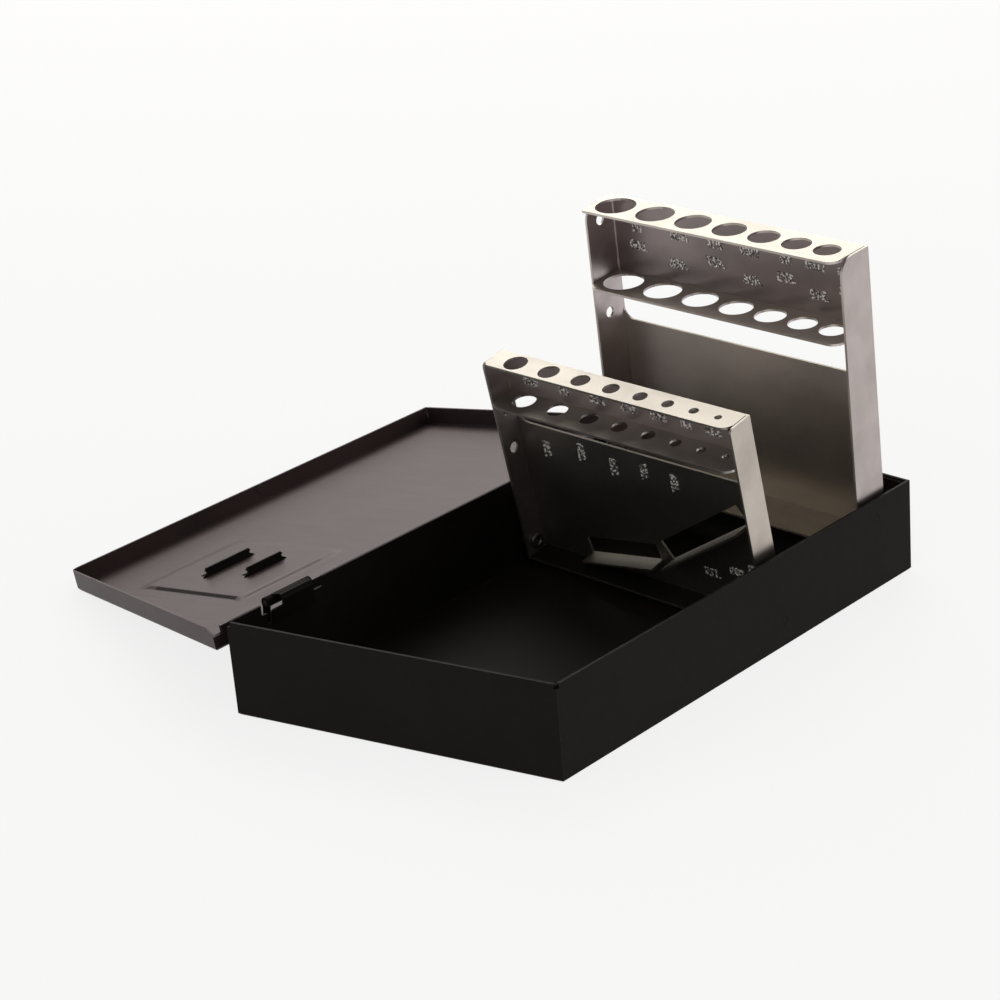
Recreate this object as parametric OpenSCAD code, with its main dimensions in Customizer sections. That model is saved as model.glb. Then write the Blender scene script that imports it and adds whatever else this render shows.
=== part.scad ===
// Folding drill bit case: a low sheet-steel tray with a slanted near end, a pan lid on two
// small hinges, and two folding bit racks that stand up on rivets. Millimetres.
// +Z is up, X runs across the case from the hinge side to the open side, Y runs along it.
// The origin is the middle of the underside of the tray.

/* [Case] */

// Width of the tray across its long walls
case_w = 107.5; // [90:0.5:130]
// Length of the tray along its hinge side
case_len = 194.5; // [170:0.5:230]
// How much shorter the open side is than the hinge side
slant_len = 27.5; // [0:0.5:40]
// Height of the tray's walls
case_h = 31.3; // [26:0.1:45]
// Thickness of the sheet steel
sheet = 0.8; // [0.6:0.05:1.2]
// Chamfer that stands for the bend radius at the tray's underside
bend_edge = 0.6; // [0.2:0.05:1.5]
// Width of the wall ends folded behind the short walls
corner_tab = 9.5; // [5:0.5:15]
// How far the folded wall ends stay below the rim
tab_drop = 0.7; // [0.2:0.1:3]
// Width of the relief cut at each upper corner of the short walls
relief_w = 1.1; // [0.5:0.1:3]
// Depth of the relief cut at each upper corner of the short walls
relief_h = 1.6; // [0.5:0.1:6]

/* [Lid] */

// Room between the tray's walls and the lid's flanges
lid_gap = 0.35; // [0.3:0.01:0.8]
// Height of the lid's flanges with the plate
lid_depth = 6.9; // [6:0.1:12]
// How far the closed lid reaches down over the walls
lid_overlap = 1.2; // [0.8:0.1:4]
// Length of the cut that clears the near flange at the hinge
lid_clear_len = 3.9; // [2:0.1:12]
// Height of the cut that clears the near flange at the hinge
lid_clear_h = 2.6; // [2:0.1:6]
// Width of the open seams between the lid's flanges
seam_w = 0.5; // [0.3:0.05:1]
// Height of the seams between the lid's flanges
seam_h = 4.2; // [2:0.1:5.5]
// Length of the pressed pad along the lid
pad_len = 37; // [20:0.5:60]
// Width of the pressed pad across the lid
pad_w = 44; // [20:0.5:60]
// Depth of the pressed pad
pad_rise = 0.6; // [0.3:0.05:0.75]
// Distance of the pad from the hinge side of the lid
pad_from_hinge = 31; // [15:0.5:45]
// Distance of the pad from the hinge-side near corner of the lid
pad_from_end = 35.7; // [25:0.5:60]
// Height of the two lanced clips
clip_h = 3; // [2:0.1:4]
// Length of the outer clip
clip_long = 18.5; // [10:0.5:25]
// Length of the inner clip
clip_short = 14.5; // [8:0.5:20]
// Distance of the inner clip from the hinge side of the lid
clip_from_hinge = 43; // [30:0.5:60]
// Distance between the two clips
clip_pitch = 16.5; // [8:0.5:25]
// Distance of the clips' far ends from the pad's near edge
clip_end = 28.7; // [20:0.1:36]
// Radius of the snap dimple in the outer flange
snap_r = 1.6; // [1:0.1:2.5]
// Height of the snap dimple
snap_rise = 0.2; // [0.1:0.05:0.25]
// Distance of the snap dimple from the flange's free edge
snap_up = 2; // [1.8:0.1:4]

/* [Hinges] */

// Distance of the front hinge's middle from the near end of the tray
hinge_inset = 25.7; // [20:0.1:60]
// Distance of the rear hinge's middle from the far end of the tray
rear_hinge_inset = 33.5; // [31:0.1:60]
// Distance of the hinge axis outside the hinge-side wall
hinge_out = 3.64; // [3.4:0.02:6]
// Distance of the hinge axis below the rim
hinge_drop = 2.28; // [1.5:0.02:4]
// Radius of the hinge pins
hinge_pin_r = 0.9; // [0.6:0.05:1.2]
// Radial play of the hinge pins
pin_play = 0.05; // [0.02:0.01:0.1]
// Thickness of the hinge leaves
leaf_t = 0.7; // [0.5:0.05:0.9]
// Width of the tray's hinge leaf
leaf_w = 17; // [10:0.5:25]
// Width of the knuckle of the tray's leaf
barrel_w = 12.4; // [8:0.1:16]
// Distance of the knuckles from the middle of the tray's leaf, toward the far end
barrel_off = 1.9; // [0:0.1:2.5]
// Width of each knuckle of the lid's leaf
knuckle_w = 2.6; // [2:0.1:3.4]
// End play between the knuckles
knuckle_gap = 0.3; // [0.3:0.05:0.8]
// Length of the hinge notches in the tray's rim and in the lid's flange
notch_w = 25; // [20:0.1:28]
// Depth of the hinge notch in the tray's rim
notch_drop = 3.3; // [2.5:0.1:6]
// Width of the slit at the near end of the hinge notch
slit_w = 1.6; // [0.8:0.1:2.5]
// Depth of the slit below the hinge notch
slit_h = 3.5; // [2:0.1:5]
// How far the tray's leaf reaches below the rim
leaf_reach = 7.2; // [5:0.1:12]
// How far the tray's leaf arches above the rim
leaf_arch = 0.6; // [0.3:0.1:0.9]
// Height of the lid's leaf on its flange
lid_leaf_h = 2.9; // [2:0.1:3]
// Depth of the hinge notch in the lid's flange
lid_notch_h = 3.3; // [2.9:0.1:3.4]

/* [Racks] */

// Room around the bits in their holes, on the diameter
bit_room = 0.8; // [0.2:0.05:0.9]
// Step between neighbouring bit diameters, a thirty-second of an inch
bit_step_d = 0.79375; // [0.7:0.00125:0.8]
// Radius of the plain holes in the left flanges
flange_hole_r = 1.8; // [1:0.05:2]
// Radius of the sharper shelf corners
corner_small_r = 1.5; // [0.5:0.1:3]

/* [Rear rack] */

// Room between the rear rack and the tray's wall on each side
rear_side_room = 1.45; // [1.2:0.05:2]
// Height of the rear rack
rear_h = 97.2; // [85:0.1:105]
// Depth of the rear rack's flanges
rear_flange_d = 13.7; // [12:0.1:14]
// Depth of the rear rack's top shelf and foot
rear_d = 16.3; // [15.5:0.1:16.6]
// Depth of the rear rack's second shelf, which is also the height of the window it leaves
rear_low_d = 17.2; // [16:0.1:17.4]
// Distance between the two shelves of the rear rack
rear_strip = 25.6; // [15:0.1:35]
// Room between the rear rack's left flange and its first hole
rear_row_gap = 1.45; // [0.5:0.05:3]
// Room between the rear rack's last hole and its right flange
rear_end_gap = 4.11; // [1:0.01:6]
// Distance of the holes from the back of the rear rack
rear_hole_u = 8.1; // [7.8:0.05:8.6]
// Corner radius of the rear rack's shelves
rear_corner_r = 4; // [1:0.1:6]
// Corner radius of the rear rack's flanges
rear_flange_r = 5.5; // [1:0.1:8]
// Distance of the rear rack's back from the outside of the far wall
rear_back = 10.05; // [9:0.05:12]
// Height of the rear rack's foot above the underside
rear_foot = 16.9; // [16.4:0.1:17.4]
// Lean of the standing rear rack toward the near end
rear_lean = 3.5; // [0:0.1:10]
// Height of the rear pivots on the rack
rear_pivot_v = 8.2; // [7.8:0.1:8.6]
// Distance of the rear pivots from the back of the rack
rear_pivot_u = 7.4; // [7.1:0.05:7.8]
// Distance of the upper flange hole below the rear rack's top
rear_high_hole = 6.4; // [5:0.1:12]
// Distance of the lower flange hole below the rear rack's second shelf
rear_low_hole = 11.9; // [5:0.1:20]

/* [Front rack] */

// Room between the front rack and the tray's wall on each side
front_side_room = 2.8; // [2.65:0.05:4]
// Height of the front rack
front_h = 74.9; // [65:0.1:80]
// Depth of the front rack's flanges, top shelf and foot
front_d = 9.5; // [9.2:0.1:10]
// Depth of the front rack's second shelf, which is also the height of the window it leaves
front_low_d = 12; // [10:0.1:12.4]
// Distance between the two shelves of the front rack
front_strip = 13; // [8:0.1:20]
// Room between the front rack's left flange and its first hole
front_row_gap = 5.75; // [2:0.05:8]
// Room between the front rack's last hole and its right flange
front_end_gap = 6.13; // [2:0.01:8]
// Distance of the holes from the back of the front rack
front_hole_u = 4.85; // [4.8:0.05:5]
// Corner radius of the front rack's shelves
front_corner_r = 4.5; // [1:0.1:6]
// Distance of the front rack's back from the outside of the far wall
front_back = 59.7; // [55:0.1:70]
// Height of the front rack's foot above the underside
front_foot = 5.1; // [4.8:0.1:5.4]
// Lean of the standing front rack toward the near end
front_lean = 10.72; // [0:0.02:20]
// Height of the front pivots on the rack
front_pivot_v = 4.8; // [4.5:0.1:5]
// Distance of the front pivots from the back of the rack
front_pivot_u = 5; // [4.7:0.05:5.1]
// Distance of the small flange hole below the front rack's second shelf
front_high_hole = 5.9; // [3:0.1:12]
// Radius of the small flange hole of the front rack
front_mark_r = 1; // [0.5:0.05:1.5]
// Distance of the large flange hole below the front rack's second shelf
front_low_hole = 19.1; // [10:0.1:25]
// Depth of the lower lanced ledge of the front rack
ledge_low_d = 6.4; // [3:0.1:8]
// Depth of the slanted lanced ledge of the front rack
ledge_high_d = 7.4; // [4:0.1:8.4]

/* [Pivots] */

// Radius of the rack pivots
pivot_r = 1.5; // [1:0.05:2]
// Radial play of the pivots in the rack flanges
pivot_play = 0.05; // [0.02:0.01:0.1]
// Radius of the pivot heads
head_r = 2.7; // [2:0.1:3.5]
// Thickness of the pivot heads
head_t = 0.9; // [0.5:0.1:1.5]
// Outer radius of the spacers between wall and rack
spacer_r = 3.1; // [2.5:0.1:4]
// Side play between a rack and its spacers and heads
side_play = 0.3; // [0.3:0.05:0.6]

/* [Hidden] */

$fn = 40;
half_w = case_w / 2;
half_len = case_len / 2;
slant_share = slant_len / case_w;
slant_stretch = sqrt(1 + slant_share * slant_share);
lid_out = lid_gap + sheet;
lid_top = case_h - lid_overlap + lid_depth;
lid_low = lid_top - lid_depth;
lid_half = half_w + lid_out;
axis_x = -half_w - hinge_out;
axis_z = case_h - hinge_drop;
corner_x = lid_half - axis_x;
corner_z = lid_top - axis_z;
corner_reach = sqrt(corner_x * corner_x + corner_z * corner_z);
open_angle = 180 + asin(axis_z / corner_reach) - atan2(corner_z, corner_x);
hinge_mids = [-half_len + hinge_inset, half_len - rear_hinge_inset];
knuckle_in = hinge_pin_r + pin_play;
knuckle_out = knuckle_in + leaf_t;
knuckle_mid = knuckle_in + leaf_t / 2;
lid_leaf_w = barrel_w + 2 * knuckle_gap + 2 * knuckle_w;
arch_x_share = 0.42;
rear_sizes = [16, 15, 14, 13, 12, 11, 10];
front_sizes = [9, 8, 7, 6, 5, 4, 3, 2];
wall_in = half_w - sheet;
ray_share = 0.02;
slip = sheet * ray_share;
past = sheet;

// Diameter of the hole for a bit that is n steps of a thirty-second of an inch
function hole_d(n) = n * bit_step_d + bit_room;

// Sum of the first k values of a list
function sum_to(list, k) = k <= 0 ? 0 : list[k - 1] + sum_to(list, k - 1);

// Mean diameters of neighbouring holes, which is their pitch when they touch
function touching(sizes) =
    [for (i = [0 : len(sizes) - 2]) (hole_d(sizes[i]) + hole_d(sizes[i + 1])) / 2];

// First and last centres of a row of holes in a rack of width w
function row_ends(sizes, w, gap, end_gap) = [
    -w / 2 + sheet + gap + hole_d(sizes[0]) / 2,
    w / 2 - sheet - end_gap - hole_d(sizes[len(sizes) - 1]) / 2
];

// Centres of the rear row: the pitch grows with the holes
function spread_row(sizes, ends) =
    let (p = touching(sizes), n = len(p), spread = (ends[1] - ends[0]) / sum_to(p, n))
    [for (i = [0 : n]) ends[0] + sum_to(p, i) * spread];

// Centres of the front row: the metal between the holes is the same all along
function even_row(sizes, ends) =
    let (p = touching(sizes), n = len(p), web = (ends[1] - ends[0] - sum_to(p, n)) / n)
    [for (i = [0 : n]) ends[0] + sum_to(p, i) + web * i];
rear_w = case_w - 2 * sheet - 2 * rear_side_room;
front_w = case_w - 2 * sheet - 2 * front_side_room;
rear_x = spread_row(rear_sizes, row_ends(rear_sizes, rear_w, rear_row_gap, rear_end_gap));
front_x = even_row(front_sizes, row_ends(front_sizes, front_w, front_row_gap, front_end_gap));

// Near edge of the tray's plan at x, moved out by off
function near_y(x, off) = -half_len + (x + half_w) * slant_share - off * slant_stretch;

// Plan of the tray moved out by off on every side
function plan(off) = [
    [-half_w - off, near_y(-half_w - off, off)],
    [half_w + off, near_y(half_w + off, off)],
    [half_w + off, half_len + off],
    [-half_w - off, half_len + off]
];

// Outline of a sheet of thickness t that follows the middle line p
function unit(v) = v / norm(v);
function side(v) = [-v[1], v[0]];
function joint_off(p, i, t) =
    i == 0 ? side(unit(p[1] - p[0])) * t / 2 :
    i == len(p) - 1 ? side(unit(p[i] - p[i - 1])) * t / 2 :
    let (a = side(unit(p[i] - p[i - 1])), b = side(unit(p[i + 1] - p[i])), m = unit(a + b))
    m * (t / 2) / (m * a);
function ribbon(p, t) = concat(
    [for (i = [0 : len(p) - 1]) p[i] + joint_off(p, i, t)],
    [for (i = [len(p) - 1 : -1 : 0]) p[i] - joint_off(p, i, t)]
);

// Quarter circle of radius r about c from angle a to angle b
function arc(c, r, a, b, n) = [for (i = [0 : n]) c + r * [cos(a + (b - a) * i / n),
                                                          sin(a + (b - a) * i / n)]];

module plate_xz(points, y0, y1) {
    translate([0, y1, 0])
        rotate([90, 0, 0])
            linear_extrude(height = y1 - y0)
                polygon(points);
}

module cyl_x(r, x0, x1) {
    translate([x0, 0, 0])
        rotate([0, 90, 0])
            cylinder(r = r, h = x1 - x0);
}

module cyl_y(r, y0, y1) {
    translate([0, y1, 0])
        rotate([90, 0, 0])
            cylinder(r = r, h = y1 - y0);
}

module box(low, high) {
    translate(low)
        cube(high - low);
}

// Places the children in the frame of a rack that stands on foot with its back at y
module on_rack(y, foot, lean) {
    translate([0, y, foot])
        rotate([lean, 0, 0])
            children();
}

// Turns the closed lid about the hinge axis to where it lies open
module opened() {
    translate([axis_x, 0, axis_z])
        rotate([0, -open_angle, 0])
            translate([-axis_x, 0, -axis_z])
                children();
}

module at_rear_pivots() {
    on_rack(half_len - rear_back, rear_foot, rear_lean)
        translate([0, -rear_pivot_u, rear_pivot_v])
            children();
}

module at_front_pivots() {
    on_rack(half_len - front_back, front_foot, front_lean)
        translate([0, -front_pivot_u, front_pivot_v])
            children();
}

module tray_shape() {
    difference() {
        union() {
            hull() {
                linear_extrude(height = bend_edge)
                    polygon(plan(-bend_edge));
                translate([0, 0, bend_edge])
                    linear_extrude(height = case_h - bend_edge)
                        polygon(plan(0));
            }
        }
        difference() {
            translate([0, 0, sheet])
                linear_extrude(height = case_h)
                    polygon(plan(-sheet));
            for (edge = [-1, 1])
                tray_tab(edge);
        }
        for (edge = [-1, 1])
            box([edge * half_w - relief_w, -case_len, case_h - relief_h],
                [edge * half_w + relief_w, near_y(edge * half_w, 0) + slant_share * relief_w
                 + sheet * slant_stretch, case_h + past]);
        for (mid = hinge_mids)
            box([-half_w - past, mid - notch_w / 2, case_h - notch_drop],
                [-half_w + sheet + past, mid + notch_w / 2, case_h + past]);
        for (mid = hinge_mids)
            box([-half_w - past, mid - leaf_w / 2 - slit_w - knuckle_gap,
                 case_h - notch_drop - slit_h],
                [-half_w + sheet + past, mid - leaf_w / 2 - knuckle_gap,
                 case_h - notch_drop + past]);
        at_rear_pivots()
            cyl_x(pivot_r + slip, -case_w, case_w);
        at_front_pivots()
            cyl_x(pivot_r + slip, -case_w, case_w);
    }
}

// Wall ends folded behind the short walls: both tabs of one long wall
module tray_tab(edge) {
    inner = edge * wall_in;
    reach = edge * (wall_in - corner_tab);
    translate([0, 0, 0])
        linear_extrude(height = case_h - tab_drop)
            polygon([
                [inner + edge * sheet, near_y(inner + edge * sheet, -sheet / 2)],
                [inner + edge * sheet, near_y(inner + edge * sheet, -2 * sheet)],
                [reach, near_y(reach, -2 * sheet)],
                [reach, near_y(reach, -sheet / 2)]
            ]);
    box([min(inner + edge * sheet, reach), half_len - 2 * sheet, 0],
        [max(inner + edge * sheet, reach), half_len - sheet / 2, case_h - tab_drop]);
}

module case_tray() {
    color([0.1, 0.09, 0.08])
        tray_shape();
}

module lid_closed() {
    pad_low = [-lid_half + pad_from_hinge, near_y(-half_w, lid_out) + pad_from_end];
    clip_x = [-lid_half + clip_from_hinge + clip_pitch, -lid_half + clip_from_hinge];
    clip_l = [clip_long, clip_short];
    clip_y = pad_low[1] + clip_end;
    snap_y = half_len - (case_len - slant_len) / 2;
    inner_z = lid_top - sheet;
    difference() {
        union() {
            difference() {
                hull() {
                    translate([0, 0, lid_low])
                        linear_extrude(height = lid_depth - bend_edge)
                            polygon(plan(lid_out));
                    translate([0, 0, lid_low])
                        linear_extrude(height = lid_depth)
                            polygon(plan(lid_out - bend_edge));
                }
                translate([0, 0, lid_low - past])
                    linear_extrude(height = lid_depth - sheet + past)
                        polygon(plan(lid_gap));
                box([pad_low[0], pad_low[1], lid_top - pad_rise],
                    [pad_low[0] + pad_w, pad_low[1] + pad_len, lid_top + past]);
            }
            box([pad_low[0] - sheet, pad_low[1] - sheet, inner_z - pad_rise],
                [pad_low[0] + pad_w + sheet, pad_low[1] + pad_len + sheet, inner_z]);
            for (i = [0, 1])
                box([clip_x[i], clip_y - clip_l[i], inner_z - pad_rise - clip_h],
                    [clip_x[i] + sheet, clip_y, inner_z - pad_rise / 2]);
            translate([lid_half - sheet, snap_y, lid_low + snap_up])
                cyl_x(snap_r, -snap_rise, sheet / 2);
        }
        for (i = [0, 1])
            box([clip_x[i] + sheet, clip_y - clip_l[i] - seam_w, lid_low],
                [clip_x[i] + sheet + clip_h, clip_y + seam_w, lid_top + past]);
        for (mid = hinge_mids)
            box([-lid_half - past, mid - notch_w / 2, lid_low - past],
                [-lid_half + sheet + past, mid + notch_w / 2, lid_low + lid_notch_h]);
        plate_xz([[-lid_half - past, lid_low - past],
                  [-lid_half + lid_clear_len + past, lid_low - past],
                  [-lid_half + lid_clear_len, lid_low],
                  [-lid_half, lid_low + lid_clear_h],
                  [-lid_half - past, lid_low + lid_clear_h]],
                 -case_len, near_y(-half_w + lid_clear_len, lid_gap) + 2 * sheet);
        box([lid_half - sheet - seam_w, half_len + lid_gap - sheet, lid_low - past],
            [lid_half - sheet, half_len + lid_out + past, lid_low + seam_h]);
    }
}

module lid_shell() {
    color([0.36, 0.32, 0.3])
        opened()
            lid_closed();
}

// Knuckle ring of a leaf about the hinge axis
module knuckle(y0, y1) {
    translate([axis_x, 0, axis_z])
        difference() {
            cyl_y(knuckle_out, y0, y1);
            cyl_y(knuckle_in, y0 - past, y1 + past);
        }
}

// Leaf on the tray: a plate inside the wall, over the notch and around the pin
module tray_leaf(mid_y) {
    inside_x = -wall_in + leaf_t / 2;
    top = case_h + leaf_arch - leaf_t / 2;
    turn_x = inside_x + (axis_x - inside_x) * arch_x_share;
    path = [
        [inside_x, case_h - notch_drop],
        [inside_x, case_h - leaf_t],
        [inside_x - leaf_t, top],
        [turn_x, top],
        [axis_x, axis_z + knuckle_mid]
    ];
    barrel_y = mid_y + barrel_off;
    difference() {
        union() {
            box([-wall_in, mid_y - leaf_w / 2, case_h - leaf_reach],
                [-wall_in + leaf_t, mid_y + leaf_w / 2, case_h - notch_drop + leaf_t]);
            plate_xz(ribbon(path, leaf_t), barrel_y - barrel_w / 2, barrel_y + barrel_w / 2);
            translate([axis_x, 0, axis_z])
                cyl_y(knuckle_out, barrel_y - barrel_w / 2, barrel_y + barrel_w / 2);
        }
        translate([axis_x, 0, axis_z])
            cyl_y(knuckle_in, mid_y - leaf_w, mid_y + leaf_w);
    }
}

// Leaf on the lid, drawn closed: a strip on the flange with a knuckle at each end
module lid_leaf_closed(mid_y) {
    plate_x = -lid_half - leaf_t / 2;
    low = lid_low + lid_notch_h;
    arm = [
        [axis_x + knuckle_mid, axis_z],
        [axis_x + knuckle_mid, axis_z + knuckle_out],
        [plate_x, low],
        [plate_x, low + lid_leaf_h / 2]
    ];
    half = lid_leaf_w / 2;
    barrel_y = mid_y + barrel_off;
    difference() {
        union() {
            box([-lid_half - leaf_t, barrel_y - half, low],
                [-lid_half, barrel_y + half, low + lid_leaf_h]);
            for (s = [-1, 1]) {
                y0 = barrel_y + min(s * half, s * (half - knuckle_w));
                plate_xz(ribbon(arm, leaf_t), y0, y0 + knuckle_w);
                translate([axis_x, 0, axis_z])
                    cyl_y(knuckle_out, y0, y0 + knuckle_w);
            }
        }
        translate([axis_x, 0, axis_z])
            cyl_y(knuckle_in, mid_y - lid_leaf_w, mid_y + lid_leaf_w);
    }
}

module front_tray_leaf() {
    color([0.12, 0.11, 0.1])
        tray_leaf(hinge_mids[0]);
}

module rear_tray_leaf() {
    color([0.12, 0.11, 0.1])
        tray_leaf(hinge_mids[1]);
}

module front_lid_leaf() {
    color([0.14, 0.12, 0.11])
        opened()
            lid_leaf_closed(hinge_mids[0]);
}

module rear_lid_leaf() {
    color([0.14, 0.12, 0.11])
        opened()
            lid_leaf_closed(hinge_mids[1]);
}

module hinge_pin(mid_y) {
    translate([axis_x, 0, axis_z])
        cyl_y(hinge_pin_r, mid_y + barrel_off - lid_leaf_w / 2,
              mid_y + barrel_off + lid_leaf_w / 2);
}

module front_hinge_pin() {
    color([0.2, 0.19, 0.18])
        hinge_pin(hinge_mids[0]);
}

module rear_hinge_pin() {
    color([0.2, 0.19, 0.18])
        hinge_pin(hinge_mids[1]);
}

// Outline of a shelf of depth d and half width hw with front corners of radius rl and rr
function shelf_plan(hw, d, rl, rr) = concat(
    [[-hw, -sheet / 2]],
    arc([-hw + rl, -d + rl], rl, 180, 270, 8),
    arc([hw - rr, -d + rr], rr, 270, 360, 8),
    [[hw, -sheet / 2]]
);

// Outline of a rack flange of height h and depth d with a rounded top corner
function flange_plan(h, d, r) = concat(
    [[0, 0]],
    [[-d, 0]],
    [for (i = [0 : 8]) [-d + r * (1 - cos(i * 90 / 8)), h - r + r * sin(i * 90 / 8)]],
    [[0, h]]
);

module shelf(hw, d, rl, rr, v) {
    translate([0, 0, v])
        linear_extrude(height = sheet)
            polygon(shelf_plan(hw, d, rl, rr));
}

// Back panel and flanges of a rack of width w, height h and flange depth d
module rack_frame(w, h, d, r) {
    box([-w / 2, -sheet, 0], [w / 2, 0, h]);
    for (x = [-w / 2, w / 2 - sheet])
        translate([x, 0, 0])
            rotate([90, 0, 90])
                linear_extrude(height = sheet)
                    polygon(flange_plan(h, d, r));
}

// Window that a second shelf of depth d, bent out of the panel at v, leaves below itself
module rack_window(hw, d, rl, rr, v) {
    translate([0, past, v])
        rotate([90, 0, 0])
            linear_extrude(height = sheet + 2 * past)
                polygon([for (p = shelf_plan(hw, d, rl, rr)) [p[0], min(p[1] + sheet, 0)]]);
}

module bit_row(sizes, xs, u, v0, v1) {
    for (i = [0 : len(sizes) - 1])
        translate([xs[i], -u, v0])
            cylinder(d = hole_d(sizes[i]), h = v1 - v0);
}

// Plain hole of radius r in the left flange only
module left_flange_hole(v, u, r) {
    translate([0, -u, v])
        cyl_x(r, -case_w, 0);
}

// Pivot holes at height v and depth u, through the two flanges of a rack of width w only
module pivot_holes(w, v, u) {
    for (x = [-w / 2, w / 2 - sheet])
        translate([0, -u, v])
            cyl_x(pivot_r + pivot_play, x - past, x + sheet + past);
}

module rear_rack_local() {
    hw = rear_w / 2 - sheet;
    low_v = rear_h - rear_strip - 2 * sheet;
    difference() {
        union() {
            rack_frame(rear_w, rear_h, rear_flange_d, rear_flange_r);
            shelf(hw, rear_d, corner_small_r, rear_corner_r, rear_h - sheet);
            shelf(hw, rear_low_d, rear_corner_r, rear_corner_r, low_v);
            shelf(hw, rear_d, corner_small_r, rear_corner_r, 0);
        }
        rack_window(hw, rear_low_d, rear_corner_r, rear_corner_r, low_v);
        bit_row(rear_sizes, rear_x, rear_hole_u, low_v - past, rear_h + past);
        pivot_holes(rear_w, rear_pivot_v, rear_pivot_u);
        left_flange_hole(rear_h - rear_high_hole, rear_pivot_u, flange_hole_r);
        left_flange_hole(low_v - rear_low_hole, rear_pivot_u, flange_hole_r);
    }
}

module rear_rack() {
    color([0.62, 0.6, 0.57])
        on_rack(half_len - rear_back, rear_foot, rear_lean)
            rear_rack_local();
}

// Bend lines of the two lanced ledges, as shares of the front rack's half width and height
ledge_low_a_share = [-0.564, 0.039];
ledge_low_b_share = [0.048, 0.118];
ledge_high_a_share = [0.155, 0.145];
ledge_high_b_share = [0.85, 0.457];
function on_panel(share) = [share[0] * front_w / 2, share[1] * front_h];

// Window left in the panel by a ledge of depth d lanced along the line from a to b
module lanced_window(a, b, d) {
    n = side(unit(b - a));
    translate([0, past, 0])
        rotate([90, 0, 0])
            linear_extrude(height = sheet + 2 * past)
                polygon([a + n * sheet / 2, b + n * sheet / 2, b + n * d, a + n * d]);
}

module lanced_ledge(a, b, d) {
    rotate([90, 0, 0])
        linear_extrude(height = d)
            polygon(ribbon([a, b], sheet));
}

module front_rack_local() {
    hw = front_w / 2 - sheet;
    low_v = front_h - front_strip - 2 * sheet;
    low_a = on_panel(ledge_low_a_share);
    low_b = on_panel(ledge_low_b_share);
    high_a = on_panel(ledge_high_a_share);
    high_b = on_panel(ledge_high_b_share);
    difference() {
        union() {
            difference() {
                rack_frame(front_w, front_h, front_d, corner_small_r);
                lanced_window(low_a, low_b, ledge_low_d);
                lanced_window(high_a, high_b, ledge_high_d);
            }
            lanced_ledge(low_a, low_b, ledge_low_d);
            lanced_ledge(high_a, high_b, ledge_high_d);
            shelf(hw, front_d, corner_small_r, front_corner_r, front_h - sheet);
            shelf(hw, front_low_d, front_corner_r, front_corner_r, low_v);
            shelf(hw, front_d, corner_small_r, front_corner_r, 0);
        }
        rack_window(hw, front_low_d, front_corner_r, front_corner_r, low_v);
        bit_row(front_sizes, front_x, front_hole_u, low_v - past, front_h + past);
        pivot_holes(front_w, front_pivot_v, front_pivot_u);
        left_flange_hole(low_v - front_high_hole, front_pivot_u, front_mark_r);
        left_flange_hole(low_v - front_low_hole, front_pivot_u, flange_hole_r);
    }
}

module front_rack() {
    color([0.6, 0.58, 0.55])
        on_rack(half_len - front_back, front_foot, front_lean)
            front_rack_local();
}

// Pivot on side s of a rack of width w: shank flush with the wall, head inside the flange
module pivot(s, w) {
    inner = w / 2 - sheet - side_play;
    tip = s * inner;
    cyl_x(pivot_r, min(s * half_w, tip), max(s * half_w, tip));
    cyl_x(head_r, min(tip, tip - s * head_t), max(tip, tip - s * head_t));
}

// Spacer on side s of a rack of width w, seated on the wall
module spacer(s, w) {
    outer = s * wall_in;
    inner = s * (w / 2 + side_play);
    difference() {
        cyl_x(spacer_r, min(outer, inner), max(outer, inner));
        cyl_x(pivot_r + pivot_play, -case_w, case_w);
    }
}

module front_left_pivot() {
    color([0.7, 0.69, 0.66])
        at_front_pivots()
            pivot(-1, front_w);
}

module front_right_pivot() {
    color([0.7, 0.69, 0.66])
        at_front_pivots()
            pivot(1, front_w);
}

module rear_left_pivot() {
    color([0.7, 0.69, 0.66])
        at_rear_pivots()
            pivot(-1, rear_w);
}

module rear_right_pivot() {
    color([0.7, 0.69, 0.66])
        at_rear_pivots()
            pivot(1, rear_w);
}

module front_left_spacer() {
    color([0.66, 0.65, 0.62])
        at_front_pivots()
            spacer(-1, front_w);
}

module front_right_spacer() {
    color([0.66, 0.65, 0.62])
        at_front_pivots()
            spacer(1, front_w);
}

module rear_left_spacer() {
    color([0.66, 0.65, 0.62])
        at_rear_pivots()
            spacer(-1, rear_w);
}

module rear_right_spacer() {
    color([0.66, 0.65, 0.62])
        at_rear_pivots()
            spacer(1, rear_w);
}

case_tray();
lid_shell();
front_tray_leaf();
rear_tray_leaf();
front_lid_leaf();
rear_lid_leaf();
front_hinge_pin();
rear_hinge_pin();
rear_rack();
front_rack();
front_left_pivot();
front_right_pivot();
rear_left_pivot();
rear_right_pivot();
front_left_spacer();
front_right_spacer();
rear_left_spacer();
rear_right_spacer();
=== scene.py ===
"""Looks for the folding drill bit case: enamelled tray and lid, plated bit racks, hinges.

Everything is in metres in the CAD frame: Z up, X across the case from the hinge side to the
open side, Y along it from the slanted near end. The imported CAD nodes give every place; this
file gives worked edges, stamped sizes, rivets and finishes.
"""

import logging
import math
from dataclasses import dataclass, field
from enum import Enum, IntEnum
from typing import Any, Callable, Optional, Sequence

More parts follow.
